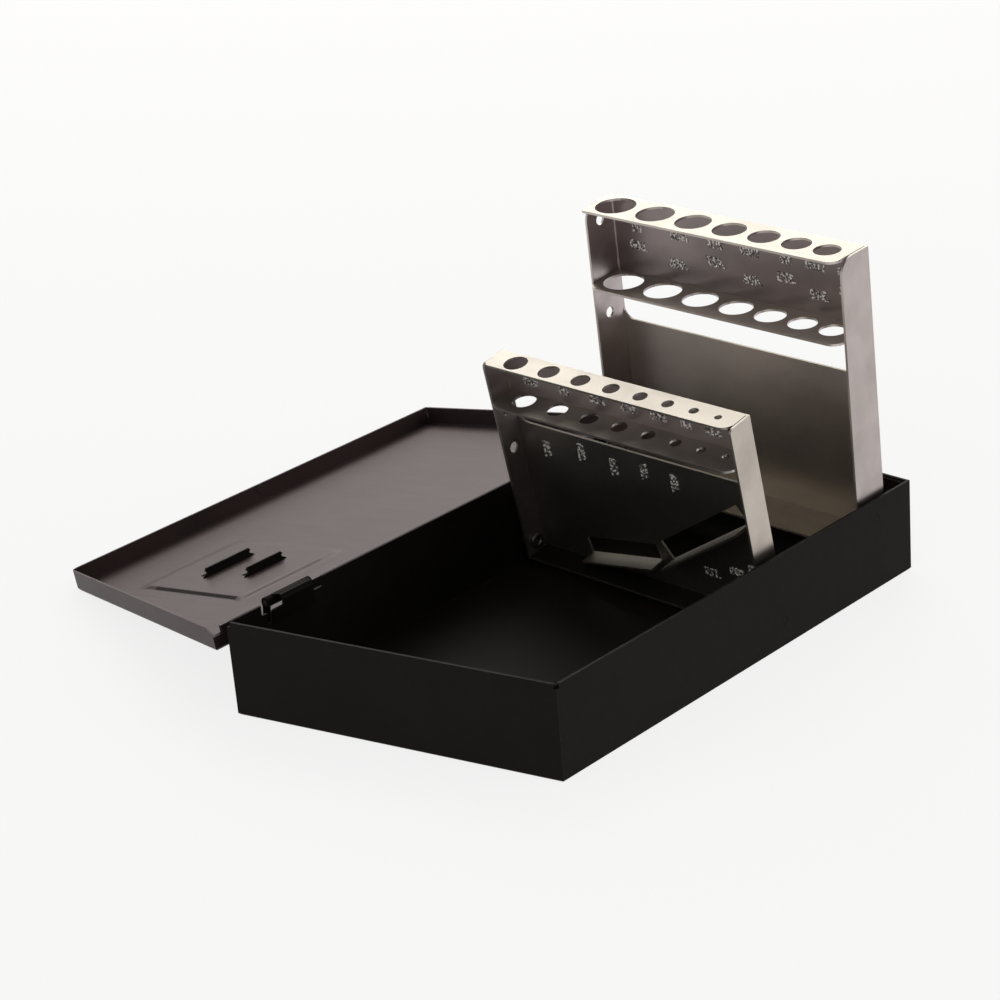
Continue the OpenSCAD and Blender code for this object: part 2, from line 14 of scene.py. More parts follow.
import bmesh
import bpy
import numpy as np
from mathutils import Matrix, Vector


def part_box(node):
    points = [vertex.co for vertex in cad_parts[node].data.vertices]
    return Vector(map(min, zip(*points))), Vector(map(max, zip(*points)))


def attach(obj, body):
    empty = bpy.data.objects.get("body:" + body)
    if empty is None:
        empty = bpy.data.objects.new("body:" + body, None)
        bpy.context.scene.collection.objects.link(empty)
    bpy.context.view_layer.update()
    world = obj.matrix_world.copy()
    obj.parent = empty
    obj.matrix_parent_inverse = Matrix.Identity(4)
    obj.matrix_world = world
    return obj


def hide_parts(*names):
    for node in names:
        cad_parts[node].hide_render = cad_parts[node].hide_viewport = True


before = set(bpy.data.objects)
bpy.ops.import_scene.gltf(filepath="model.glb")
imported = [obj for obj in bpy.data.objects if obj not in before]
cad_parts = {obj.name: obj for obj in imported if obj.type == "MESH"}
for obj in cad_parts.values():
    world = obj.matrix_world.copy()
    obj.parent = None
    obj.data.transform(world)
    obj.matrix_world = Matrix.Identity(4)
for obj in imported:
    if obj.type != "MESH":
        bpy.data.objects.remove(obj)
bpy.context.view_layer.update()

MM = 0.001
FONT_PER_DIGIT = 1.35
STROKE_GROWTH = 0.075
WHITE = (1.0, 1.0, 1.0)
LOG = logging.getLogger("bit_case")


class Side(Enum):
    """Which face of a rack panel carries a stamp."""

    FRONT = 1.0
    BACK = -1.0


class Tone(IntEnum):
    """Which of its frame's materials a face of a rack takes; apart from the cut edges, these are
    copies of one plated steel whose base colours carry painted light and shade.
    """

    OUTER = 0
    CUT = 1
    FLANGE = 2
    STRIP = 3
    PANEL = 4
    SHELF = 5
    TOP = 6
    LEDGE = 7
    FOOT = 8


# Shader graphs


class Socket:
    """A shader value: Python operators on it add Math nodes to its graph."""

    def __init__(self, graph: "Graph", link: Any) -> None:
        """Keeps the graph and the output socket that this value stands for."""
        self.graph = graph
        self.link = link

    def _math(self, operation: str, first: Any, second: Any = None) -> "Socket":
        """Adds one Math node.

        Args:
            operation: the Math node's operation.
            first: its first value, a Socket or a number.
            second: its second value, if the operation has one.

        Returns:
            The node's value.
        """
        values = {0: first} if second is None else {0: first, 1: second}
        return self.graph.node("ShaderNodeMath", {"operation": operation}, values)["Value"]

    def __add__(self, other: Any) -> "Socket":
        """Sum."""
        return self._math("ADD", self, other)

    def __sub__(self, other: Any) -> "Socket":
        """Difference."""
        return self._math("SUBTRACT", self, other)

    def __rsub__(self, other: Any) -> "Socket":
        """Difference with the number first."""
        return self._math("SUBTRACT", other, self)

    def __mul__(self, other: Any) -> "Socket":
        """Product."""
        return self._math("MULTIPLY", self, other)

    def smooth(self, low: float, high: float) -> "Socket":
        """Smooth step from 0 at low to 1 at high."""
        settings = {"interpolation_type": "SMOOTHSTEP"}
        values = {"Value": self, "From Min": low, "From Max": high}
        return self.graph.node("ShaderNodeMapRange", settings, values)["Result"]

    def spread(self, low: float, high: float) -> "Socket":
        """Maps 0 to 1 onto low to high."""
        return self * (high - low) + low


class Outputs:
    """A node whose output sockets are read by name."""

    def __init__(self, graph: "Graph", made: Any) -> None:
        """Keeps the graph and the node."""
        self.graph = graph
        self.made = made

    def __getitem__(self, name: str) -> Socket:
        """The output socket of that name."""
        return Socket(self.graph, self.made.outputs[name])


class Graph:
    """A node tree that is emptied and filled again."""

    def __init__(self, tree: Any) -> None:
        """Takes the tree of a material or world and empties it."""
        self.tree = tree
        tree.nodes.clear()
        self._object: Any = None

    def node(self, kind: str, settings: dict[str, Any], values: dict[Any, Any]) -> Outputs:
        """Adds any node.

        Args:
            kind: the node's type.
            settings: its properties, set before the values.
            values: numbers, colours or Sockets for its inputs, by name or index.

        Returns:
            The node's outputs.
        """
        made = self.tree.nodes.new(kind)
        for name, value in settings.items():
            setattr(made, name, value)
        for name, value in values.items():
            if isinstance(value, Socket):
                self.tree.links.new(value.link, made.inputs[name])
            else:
                made.inputs[name].default_value = value
        return Outputs(self, made)

    def place(self) -> Socket:
        """Object coordinates, in metres."""
        if self._object is None:
            self._object = self.node("ShaderNodeTexCoord", {}, {})["Object"]
        return self._object

    def stretched(self, scale: Sequence[float], turn: Sequence[float] = (0, 0, 0)) -> Socket:
        """Object coordinates turned by the angles, then scaled."""
        values = {"Vector": self.place(), "Rotation": tuple(turn), "Scale": tuple(scale)}
        return self.node("ShaderNodeMapping", {"vector_type": "POINT"}, values)["Vector"]

    def noise(self, vector: Socket, scale: float, detail: float = 3.0) -> Socket:
        """Soft noise from 0 to 1 with features of one over scale, in metres."""
        values = {"Vector": vector, "Scale": scale, "Detail": detail, "Roughness": 0.55}
        return self.node("ShaderNodeTexNoise", {}, values)["Fac"]

    def mix(self, share: Any, first: Any, second: Any) -> Socket:
        """Colour between first at 0 and second at 1."""
        settings = {"data_type": "RGBA", "blend_type": "MIX"}
        mixed = self.node("ShaderNodeMix", settings, {0: share, 6: first, 7: second})
        return Socket(self, mixed.made.outputs[2])

    def bump(self, height: Socket, depth: float) -> Socket:
        """Normal of a surface raised by height times depth, in metres."""
        values = {"Height": height, "Distance": depth, "Strength": 1.0}
        return self.node("ShaderNodeBump", {}, values)["Normal"]


def rgba(colour: Sequence[float]) -> tuple[float, float, float, float]:
    """The colour with full alpha."""
    return (colour[0], colour[1], colour[2], 1.0)


def new_material(name: str) -> tuple[Any, Graph]:
    """Makes an empty material and its graph."""
    material = bpy.data.materials.new(name)
    material.use_nodes = True
    return material, Graph(material.node_tree)


def surface(graph: Graph, values: dict[str, Any]) -> None:
    """Ends a graph with a Principled shader that takes the values."""
    shader = graph.node("ShaderNodeBsdfPrincipled", {}, values)["BSDF"]
    graph.node("ShaderNodeOutputMaterial", {}, {"Surface": shader})


# Finishes


@dataclass(frozen=True)
class Enamel:
    """Baked satin enamel on sheet steel, with dust, handling marks and fine orange peel."""

    name: str
    colour: tuple[float, float, float]
    dusty: tuple[float, float, float]
    roughness: tuple[float, float]
    specular: float = 0.4
    tint: tuple[float, float, float] = WHITE
    peel: float = 0.02

    def build(self) -> Any:
        """Makes the material."""
        material, graph = new_material(self.name)
        cloud = graph.noise(graph.place(), 28.0, 4.0)
        speck = graph.noise(graph.place(), 900.0, 2.0).smooth(0.62, 0.74)
        rub = graph.noise(graph.stretched((12.0, 90.0, 60.0), (0.2, 0.1, 0.4)), 4.0, 5.0)
        dust = cloud.smooth(0.35, 0.75) * 0.7 + speck * 0.5 + rub.smooth(0.6, 0.8) * 0.35
        colour = graph.mix(dust, rgba(self.colour), rgba(self.dusty))
        rough = (cloud * 0.55 + rub * 0.45).spread(*self.roughness)
        fine = graph.noise(graph.place(), 1500.0, 3.0)
        broad = graph.noise(graph.place(), 160.0, 2.0)
        normal = graph.bump(fine * 0.5 + broad, self.peel * MM)
        surface(
            graph,
            {
                "Base Color": colour,
                "Roughness": rough,
                "Specular IOR Level": self.specular,
                "Specular Tint": rgba(self.tint),
                "Normal": normal,
            },
        )
        return material


@dataclass(frozen=True)
class WornEdgeHighlight:
    """Enamel along a bent or cut edge, with steel showing in places as wear; the whole edge is
    painted lighter than its face, a painted edge highlight.
    """

    name: str
    paint: tuple[float, float, float]
    metal: tuple[float, float, float]
    share: float
    specular: float = 0.5

    def build(self) -> Any:
        """Makes the material."""
        material, graph = new_material(self.name)
        patch = graph.noise(graph.place(), 130.0, 4.0)
        nick = graph.noise(graph.place(), 900.0, 3.0)
        bare = (patch * 0.6 + nick * 0.4).smooth(0.62 - self.share, 0.72 - self.share)
        surface(
            graph,
            {
                "Base Color": graph.mix(bare, rgba(self.paint), rgba(self.metal)),
                "Roughness": nick.spread(0.3, 0.5),
                "Metallic": bare * 0.6,
                "Specular IOR Level": self.specular,
                "Normal": graph.bump(nick, 0.03 * MM),
            },
        )
        return material


@dataclass(frozen=True)
class RolledSteel:
    """Bright plated sheet with rolling marks across the rack, smears and dull patches."""

    name: str
    colour: tuple[float, float, float]
    dull: tuple[float, float, float]
    roughness: tuple[float, float]
    lean: float = 0.0
    marks: float = 0.012

    def build(self) -> Any:
        """Makes the material."""
        material, graph = new_material(self.name)
        turn = (self.lean, 0.0, 0.0)
        lines = graph.noise(graph.stretched((14.0, 900.0, 900.0), turn), 1.0, 4.0)
        broad = graph.noise(graph.stretched((20.0, 60.0, 45.0), turn), 1.0, 4.0)
        speck = graph.noise(graph.place(), 1400.0, 3.0)
        smear = graph.noise(graph.place(), 60.0, 5.0).smooth(0.45, 0.72)
        dull = broad.smooth(0.3, 0.75) * 0.6 + smear * 0.3 + speck.smooth(0.6, 0.8) * 0.25
        rough = (lines * 0.35 + broad * 0.4 + smear * 0.25).spread(*self.roughness)
        surface(
            graph,
            {
                "Base Color": graph.mix(dull, rgba(self.colour), rgba(self.dull)),
                "Metallic": 1.0,
                "Roughness": rough,
                "Normal": graph.bump(lines * 0.7 + speck * 0.3, self.marks * MM),
            },
        )
        return material


@dataclass(frozen=True)
class StruckMark:
    """Strokes struck into plated sheet: near-white and dark spots in the base colour, painted
    glints and shade on the raised strokes.
    """

    name: str
    bright: tuple[float, float, float]
    dull: tuple[float, float, float]

    def build(self) -> Any:
        """Makes the material."""
        material, graph = new_material(self.name)
        grain = graph.noise(graph.place(), 1300.0, 2.0)
        # Near-white spots between dark ones: painted glints on the raised strokes.
        painted_glints = grain.smooth(0.46, 0.56)
        surface(
            graph,
            {
                "Base Color": graph.mix(painted_glints, rgba(self.dull), rgba(self.bright)),
                "Metallic": 0.15,
                "Roughness": grain.spread(0.2, 0.45),
                "Normal": graph.bump(grain, 0.05 * MM),
            },
        )
        return material


# Meshes


def make_piece(name: str, points: np.ndarray, faces: Sequence[Sequence[int]]) -> Any:
    """Puts arrays into a new mesh object at the origin.

    Args:
        name: the piece's name.
        points: vertex places in metres, one row each.
        faces: vertex numbers of each face.

    Returns:
        The object.
    """
    mesh = bpy.data.meshes.new(name)
    mesh.from_pydata(points.tolist(), [], faces if isinstance(faces, list) else faces.tolist())
    mesh.validate()
    mesh.update()
    piece = bpy.data.objects.new(name, mesh)
    bpy.context.scene.collection.objects.link(piece)
    return piece


def grid_faces(rows: int, columns: int, close_rows: bool, close_columns: bool) -> np.ndarray:
    """Faces of a grid of points numbered row by row.

    Args:
        rows: number of rows.
        columns: number of columns.
        close_rows: whether the last row joins the first.
        close_columns: whether the last column joins the first.

    Returns:
        One row of four vertex numbers for each face.
    """
    i = np.arange(rows if close_rows else rows - 1)
    j = np.arange(columns if close_columns else columns - 1)
    a, b = np.meshgrid(i, j, indexing="ij")
    c, d = (a + 1) % rows, (b + 1) % columns
    quads = [a * columns + b, a * columns + d, c * columns + d, c * columns + b]
    return np.stack(quads, -1).reshape(-1, 4)


def shade(piece: Any, angle: float = 32.0) -> None:
    """Smooths the faces of a piece, with edges sharper than angle, in degrees, kept sharp."""
    mesh = piece.data
    mesh.shade_smooth()
    mesh.set_sharp_from_angle(angle=math.radians(angle))


def face_outwards(piece: Any) -> None:
    """Turns the faces of a closed piece outwards."""
    work = bmesh.new()
    work.from_mesh(piece.data)
    bmesh.ops.recalc_face_normals(work, faces=work.faces)
    work.to_mesh(piece.data)
    work.free()


def dress(piece: Any, body: str, slot: str, *materials: Any) -> Any:
    """Gives a piece its materials and its body."""
    piece.data.materials.clear()
    for material in materials:
        piece.data.materials.append(material)
    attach(piece, body)
    LOG.info("%s rides on %s", piece.name, body)
    return piece


@dataclass
class WorkedSheet:
    """A CAD solid of sheet steel, given the small rounding that cutting and bending leave."""

    node: str
    piece: str
    body: str
    slot: str
    edge: float
    faces: Any
    edges: Any
    extra: tuple[Any, ...] = ()
    sort: Optional[Callable[[np.ndarray, np.ndarray], np.ndarray]] = None
    round_off: Optional[Callable[[Any], None]] = None

    def build(self) -> Any:
        """Copies and merges the node's triangles and rounds its edges.

        Returns:
            The piece that stands for the node.
        """
        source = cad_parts[self.node].data
        corners = np.empty(len(source.vertices) * 3, np.float32)
        source.vertices.foreach_get("co", corners)
        order = np.empty(len(source.loops), np.int32)
        source.loops.foreach_get("vertex_index", order)
        places = np.round(corners.reshape(-1, 3).astype(float), 7)
        points, same = np.unique(places, axis=0, return_inverse=True)
        triangles = same.reshape(-1)[order].reshape(-1, 3)
        piece = make_piece(self.piece, points, triangles)
        self._merge_flats(piece.data)
        if self.sort is not None:
            self._sort_faces(piece.data)
        bevel = piece.modifiers.new("worked_edge", "BEVEL")
        bevel.width = self.edge
        bevel.segments = 2
        bevel.limit_method = "ANGLE"
        bevel.angle_limit = math.radians(34.0)
        bevel.harden_normals = True
        bevel.material = 1
        bevel.use_clamp_overlap = True
        piece.data.shade_smooth()
        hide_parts(self.node)
        kept = np.empty(len(piece.data.polygons), np.int32)
        piece.data.polygons.foreach_get("material_index", kept)
        dress(piece, self.body, self.slot, self.faces, self.edges, *self.extra)
        piece.data.polygons.foreach_set("material_index", kept)
        return piece

    def _sort_faces(self, mesh: Any) -> None:
        """Gives each flat face the finish that sort chooses by its middle and its normal."""
        middles = np.empty(len(mesh.polygons) * 3, np.float32)
        normals = np.empty(len(mesh.polygons) * 3, np.float32)
        mesh.polygons.foreach_get("center", middles)
        mesh.polygons.foreach_get("normal", normals)
        chosen = self.sort(middles.reshape(-1, 3), normals.reshape(-1, 3))
        mesh.polygons.foreach_set("material_index", chosen.astype(np.int32))

    def _merge_flats(self, mesh: Any) -> None:
        """Joins the triangles of each flat face of a mesh, then rounds its named corners."""
        work = bmesh.new()
        work.from_mesh(mesh)
        bmesh.ops.remove_doubles(work, verts=work.verts, dist=2e-6)
        bmesh.ops.dissolve_limit(
            work, angle_limit=math.radians(0.6), verts=work.verts, edges=work.edges
        )
        if self.round_off is not None:
            self.round_off(work)
        work.to_mesh(mesh)
        work.free()
        mesh.update()


@dataclass
class Turned:
    """A turned or headed piece: a profile of (along, radius) points swept round an X axis."""

    piece: str
    node: str
    body: str
    slot: str
    finish: Any
    profile: Sequence[tuple[float, float]]
    toward: float
    segments: int = 48
    wall_finish: Any = None
    wall_steps: int = 0

    def build(self) -> Any:
        """Turns the profile round the middle of the node; along counts from the wall inward.

        A point is (x0 + toward * along, y + r cos a, z + r sin a) for each angle a.

        Returns:
            The piece.
        """
        low, high = (np.array(corner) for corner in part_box(self.node))
        middle = (low + high) / 2
        start = low[0] if self.toward > 0 else high[0]
        steps = np.array(self.profile, float) * MM
        angle = np.linspace(0.0, 2 * math.pi, self.segments, endpoint=False)
        along = np.broadcast_to(steps[:, :1], (len(steps), self.segments))
        radius = steps[:, 1:]
        points = np.stack(
            [
                start + self.toward * along,
                middle[1] + radius * np.cos(angle),
                middle[2] + radius * np.sin(angle),
            ],
            -1,
        ).reshape(-1, 3)
        faces = grid_faces(len(steps), self.segments, False, True)
        caps = [list(range(self.segments)), list(range(len(points) - self.segments, len(points)))]
        piece = make_piece(self.piece, points, faces.tolist() + caps)
        face_outwards(piece)
        shade(piece)
        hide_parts(self.node)
        if self.wall_finish is None:
            return dress(piece, self.body, self.slot, self.finish)
        dress(piece, self.body, self.slot, self.finish, self.wall_finish)
        worn = np.zeros(len(piece.data.polygons), np.int32)
        worn[: self.wall_steps * self.segments] = 1
        worn[len(faces)] = 1
        piece.data.polygons.foreach_set("material_index", worn)
        return piece


@dataclass
class Rack:
    """Where a bit rack stands, and the sizes stamped beside its holes."""

    body: str
    foot_y: float
    foot_z: float
    lean: float
    width: float
    height: float
    shelf: float
    sill: float
    depth: float
    sheet: float = 0.8
    skin: float = 0.3
    bend: float = 0.45
    raised: float = 0.12
    sunk: float = 0.015
    stamps: list[tuple[str, float, float, float, float]] = field(default_factory=list)

    def matrix(self) -> np.ndarray:
        """Turns rack places (x, height v, depth u), in millimetres, into the frame.

        Returns:
            A matrix of 3 by 4: the axes of x, v and u, and the foot, in metres.
        """
        sine, cosine = math.sin(math.radians(self.lean)), math.cos(math.radians(self.lean))
        axes = np.array([[1, 0, 0], [0, -sine, cosine], [0, -cosine, -sine]], float).T * MM
        foot = np.array([[0.0], [self.foot_y * MM], [self.foot_z * MM]])
        return np.hstack([axes, foot])

    def face_kinds(self, middles: np.ndarray, normals: np.ndarray) -> np.ndarray:
        """Sorts the frame's faces by where they are and which way they face.

        Args:
            middles: the middle of each face, in metres.
            normals: the normal of each face.

        Returns:
            The tone of each face, whose base colour is painted light and shade. FLANGE is for the
            flanges' inner faces and all undersides, STRIP for the panel above the second shelf,
            LEDGE for the ledges and the sill.
        """
        matrix = self.matrix()
        axes = matrix[:, :3] / MM
        places = (middles - matrix[:, 3]) @ axes / MM
        facing = normals @ axes
        x, v, u = places.T
        to_side, to_top, to_front = np.abs(facing[:, 0]), facing[:, 1], facing[:, 2]
        from_side = self.width / 2 - np.abs(x)
        level = (to_top > 0.3) & (v < self.height - self.skin)
        kinds = np.full(len(middles), Tone.OUTER)
        kinds[(to_side > 0.5) & (from_side > self.skin)] = Tone.FLANGE
        kinds[(to_side > 0.2) & (from_side > 1.5) & (u < 1)] = Tone.PANEL
        kinds[(to_top < -0.5) & (v > 1)] = Tone.FLANGE
        kinds[(to_front > 0.5) & (u < 2) & (v > self.shelf)] = Tone.STRIP
        kinds[(to_front > 0.3) & (u < 2) & (v <= self.shelf)] = Tone.PANEL
        kinds[level & (u > 0.5)] = Tone.SHELF
        kinds[level & (u <= 0.5)] = Tone.LEDGE
        kinds[(to_front > 0.5) & (u > 2)] = Tone.SHELF
        kinds[level & (v < self.shelf - 5) & (u > 0.5)] = Tone.LEDGE
        kinds[level & (v < 2) & (u > 0.5)] = Tone.FOOT
        kinds[(to_top > 0.9) & (v >= self.height - self.skin)] = Tone.TOP
        return kinds

    def seam(self, finish: Any, slot: str) -> Any:
        """Draws the dark joint where the top shelf meets the open end's flange.

        Returns:
            A thin strip, just proud of the shelf, along the flange's inner face.
        """
        place = self.matrix()
        inner, breadth, proud = self.width / 2 - self.sheet, 0.26, 0.02
        across = np.array([inner - breadth, inner + proud])
        along = np.linspace(self.sheet, self.depth, 14)
        grid_x, grid_u = np.meshgrid(across, along, indexing="ij")
        ones = np.ones_like(grid_x)
        levels = [self.height + proud, self.height - self.skin]
        rows = [np.stack([grid_x, ones * v, grid_u, ones], -1).reshape(-1, 4) for v in levels]
        top = grid_faces(2, len(along), False, False)
        piece = make_piece(
            f"{self.body}_joint_line",
            np.vstack(rows) @ place.T,
            np.vstack([top, top[:, ::-1] + 2 * len(along)]),
        )
        return dress(piece, self.body, slot, finish)

    def bends(self, finish: Any, slot: str) -> Any:
        """Fills the inside of the bends between the panel and the flanges.

        Each bend is a hollow quarter round: x = side (inner - r + r cos a) and
        u = sheet + r - r sin a, below the window's sill and above the second shelf.

        Returns:
            The piece.
        """
        place = self.matrix()
        radius, inner = self.bend, self.width / 2 - self.sheet
        angle = np.linspace(0.0, math.pi / 2, 6)
        spans = [(self.sheet, self.sill - 1.6)]
        spans.append((self.shelf + self.sheet, self.height - self.sheet))
        points, faces, count = [], [], 0
        for side in (-1.0, 1.0):
            for span in spans:
                grid_a, grid_v = np.meshgrid(angle, np.array(span), indexing="ij")
                x = side * (inner - radius + radius * np.cos(grid_a))
                u = self.sheet + radius - radius * np.sin(grid_a)
                rows = np.stack([x, grid_v, u, np.ones_like(x)], -1).reshape(-1, 4)
                points.append(rows @ place.T)
                quads = grid_faces(len(angle), 2, False, False) + count
                faces.append(quads if side > 0 else quads[:, ::-1])
                count += len(rows)
        piece = make_piece(f"{self.body}_bends", np.vstack(points), np.vstack(faces))
        shade(piece, 60.0)
        return dress(piece, self.body, slot, finish)

    def stamp(self, side: Side, finish: Any, slot: str) -> Any:
        """Presses the sizes through the panel: raised and mirrored in front, sunk behind.

        Args:
            side: the face of the panel.
            finish: the material of the strokes.
            slot: not used.

        Returns:
            The piece with all the rack's numbers.
        """
        place = self.matrix()
        rise, base = (self.raised, self.sheet) if side is Side.FRONT else (self.sunk, 0.0)
        points, faces, count = [], [], 0
        for words, x, v, height, turn in self.stamps:
            glyphs, polygons = glyph_mesh(words, height, rise)
            angle = math.radians(turn)
            across = glyphs[:, 0] * math.cos(angle) - glyphs[:, 1] * math.sin(angle)
            up = glyphs[:, 0] * math.sin(angle) + glyphs[:, 1] * math.cos(angle)
            out = glyphs[:, 2] * side.value + base
            rows = np.stack([x - across, v + up, out, np.ones(len(glyphs))], -1)
            points.append(rows @ place.T)
            faces += [[count + index for index in polygon] for polygon in polygons]
            count += len(glyphs)
        piece = make_piece(f"{self.body}_stamps_{side.name.lower()}", np.vstack(points), faces)
        face_outwards(piece)
        shade(piece, 60.0)
        return dress(piece, self.body, slot, finish)


def glyph_mesh(words: str, height: float, rise: float) -> tuple[np.ndarray, list[list[int]]]:
    """Makes the mesh of a stamped number.

    Args:
        words: the number, plain digits.
        height: height of the digits, in millimetres.
        rise: height of the strokes above the sheet, in millimetres.

    Returns:
        Points in millimetres, centred, standing on z = 0 and reaching a little below it,
        and the faces.
    """
    curve = bpy.data.curves.new("stamp", "FONT")
    curve.body = words
    curve.align_x = "CENTER"
    curve.align_y = "CENTER"
    curve.size = height * FONT_PER_DIGIT
    curve.offset = STROKE_GROWTH
    curve.extrude = rise
    curve.bevel_depth = rise * 0.8
    curve.bevel_resolution = 1
    curve.resolution_u = 3
    holder = bpy.data.objects.new("stamp", curve)
    bpy.context.scene.collection.objects.link(holder)
    bpy.context.view_layer.update()
    shape = holder.evaluated_get(bpy.context.evaluated_depsgraph_get()).to_mesh()
    points = np.empty(len(shape.vertices) * 3, np.float32)
    shape.vertices.foreach_get("co", points)
    faces = [list(polygon.vertices) for polygon in shape.polygons]
    holder.to_mesh_clear()
    bpy.data.objects.remove(holder)
    bpy.data.curves.remove(curve)
    return points.reshape(-1, 3).astype(float), faces


@dataclass
class LidPad:
    """The pressed pad in the lid and the torn ends of its two clips, in closed-lid places."""

    low: tuple[float, float] = (-24.7, -63.54)
    high: tuple[float, float] = (20.9, -24.94)
    plate: float = 36.2
    rise: float = 0.6
    soft: float = 5.5
    crisp: float = 1.5
    hinge_side: float = 2.6
    outline_round: float = 1.6
    widening: float = 0.45
    lift: float = 0.03
    proud: float = 0.02
    corner: float = 3.0
    axis: tuple[float, float] = (-57.39, 29.02)
    open_angle: float = 190.8739
    clips: tuple[tuple[float, float], ...] = ((4.6, 18.5), (-11.9, 14.5))
    clip_end: float = -34.04
    slot: float = 3.0
    slot_gap: float = 0.5
    sheet: float = 0.8

    def _turned(self, places: np.ndarray, degrees: float) -> np.ndarray:
        """Turns places about the hinge.

        x' = x0 + dx cos a - dz sin a and z' = z0 + dx sin a + dz cos a.

        Args:
            places: places in millimetres, one row each.
            degrees: the angle, positive as the lid opens.

        Returns:
            The turned places, in millimetres.
        """
        angle = math.radians(degrees)
        across, up = places[:, 0] - self.axis[0], places[:, 2] - self.axis[1]
        x = self.axis[0] + across * math.cos(angle) - up * math.sin(angle)
        z = self.axis[1] + across * math.sin(angle) + up * math.cos(angle)
        return np.stack([x, places[:, 1], z], -1)

    def opened(self, places: np.ndarray) -> np.ndarray:
        """Turns closed-lid places in millimetres to metres with the lid open."""
        return self._turned(places, self.open_angle) * MM

    def closed(self, places: np.ndarray) -> np.ndarray:
        """Turns open-lid places in metres back to millimetres with the lid closed."""
        return self._turned(places / MM, -self.open_angle)

    def slots(self) -> list[tuple[float, float, float, float]]:
        """The clips' slots as low x, high x, low y and high y."""
        rows = []
        for x, length in self.clips:
            start = x + self.sheet
            low, high = self.clip_end - length - self.slot_gap, self.clip_end + self.slot_gap
            rows.append((start, start + self.slot, low, high))
        return rows

    def height(self, x: np.ndarray, y: np.ndarray) -> np.ndarray:
        """Height of the pressed sheet over the plate, in millimetres.

        With d the distance outside the pad's rounded outline, the height is the rise times
        1 - smoothstep(d / w), where w is the crisp width on the near side, the hinge side's
        width there, else the soft one.

        Args:
            x: places across the lid.
            y: places along the lid.

        Returns:
            The heights.
        """
        middle = np.add(self.low, self.high) / 2
        half = np.subtract(self.high, self.low) / 2 - self.outline_round + self.widening
        away_x = np.maximum(np.abs(x - middle[0]) - half[0], 0.0)
        away_y = np.maximum(np.abs(y - middle[1]) - half[1], 0.0)
        reach = np.hypot(away_x, away_y)
        near = np.where(y < middle[1], away_y / np.maximum(reach, 1e-9), 0.0) ** 4
        hinge = np.where(x < middle[0], away_x / np.maximum(reach, 1e-9), 0.0) ** 4
        width = self.soft + (self.crisp - self.soft) * near + (self.hinge_side - self.soft) * hinge
        share = np.clip((reach - self.outline_round) / width, 0.0, 1.0)
        return (self.rise + self.lift) * (1 - share * share * (3 - 2 * share)) + self.proud

    def round_corner(self, work: Any) -> None:
        """Rounds the upright edges at the outer near corner, outside first, then inside."""
        near_end, outside, inside = -40.0, 54.5, 53.0
        for radius, least in ((self.corner, outside), (self.corner - self.sheet, inside)):
            ends = [[tuple(vertex.co) for vertex in edge.verts] for edge in work.edges]
            first, second = (self.closed(np.array(side)) for side in zip(*ends))
            gap = np.abs(first - second)
            upright = (gap[:, 2] > 0.3) & (gap[:, 0] < 0.8) & (gap[:, 1] < 0.8)
            corner = np.minimum(first[:, 0], second[:, 0]) > least - 0.7
            farther = np.maximum(first[:, 0], second[:, 0])
            corner &= (farther > least) & (farther < least + 0.9) & (first[:, 1] < near_end)
            edges = [edge for edge, keep in zip(list(work.edges), upright & corner) if keep]
            LOG.info("lid corner: %d edges rounded", len(edges))
            bmesh.ops.bevel(
                work, geom=edges, offset=radius * MM, offset_type="OFFSET", segments=5,
                profile=0.5, affect="EDGES", clamp_overlap=True,
            )

    def floor(self, finish: Any, crease: Any, slope: Any) -> Any:
        """Covers the pad with its pressed form: one grid, open over the slots.

        Args:
            finish: the lid's enamel.
            crease: the darker enamel of the crisp slope on the near side, painted shade.
            slope: the darker, duller enamel of the slope on the hinge side, painted shade.

        Returns:
            The piece.
        """
        margin = self.soft + 1.2
        lines_x = set(np.linspace(self.low[0] - margin, self.high[0] + margin, 110).round(3))
        lines_y = set(np.linspace(self.low[1] - margin, self.high[1] + margin, 110).round(3))
        for x0, x1, y0, y1 in self.slots():
            lines_x |= {x0, x1}
            lines_y |= {y0, y1}
        columns, rows = np.array(sorted(lines_x)), np.array(sorted(lines_y))
        x, y = np.meshgrid(columns, rows, indexing="ij")
        z = self.plate - self.height(x, y)
        points = np.stack([x, y, z], -1).reshape(-1, 3)
        faces = grid_faces(len(columns), len(rows), False, False)
        middle = points[faces].mean(axis=1)
        solid = np.ones(len(faces), bool)
        for x0, x1, y0, y1 in self.slots():
            inside = (middle[:, 0] > x0) & (middle[:, 0] < x1)
            solid &= ~(inside & (middle[:, 1] > y0) & (middle[:, 1] < y1))
        piece = make_piece("lid_pad", self.opened(points), faces[solid][:, ::-1])
        shade(piece, 60.0)
        dress(piece, "lid", "lid_paint", finish, crease, slope)
        kept = middle[solid]
        share = (self.height(kept[:, 0], kept[:, 1]) - self.proud) / (self.rise + self.lift)
        # Faces on the crisp near-side slope take the second enamel and those on the hinge-side
        # slope the third: both darker, as painted shade.
        near = (share > 0.04) & (share < 0.97) & (kept[:, 1] < self.low[1] + 1.2)
        near &= (kept[:, 0] > self.low[0] + 0.5) & (kept[:, 0] < self.high[0] - 3.5)
        hinge = (share > 0.12) & (share < 0.8) & (kept[:, 0] < self.low[0] + 1.5) & ~near
        hinge &= (kept[:, 1] > self.low[1]) & (kept[:, 1] < self.high[1] - 5.0)
        chosen = near.astype(np.int32) + 2 * hinge.astype(np.int32)
        piece.data.polygons.foreach_set("material_index", chosen)
        return piece

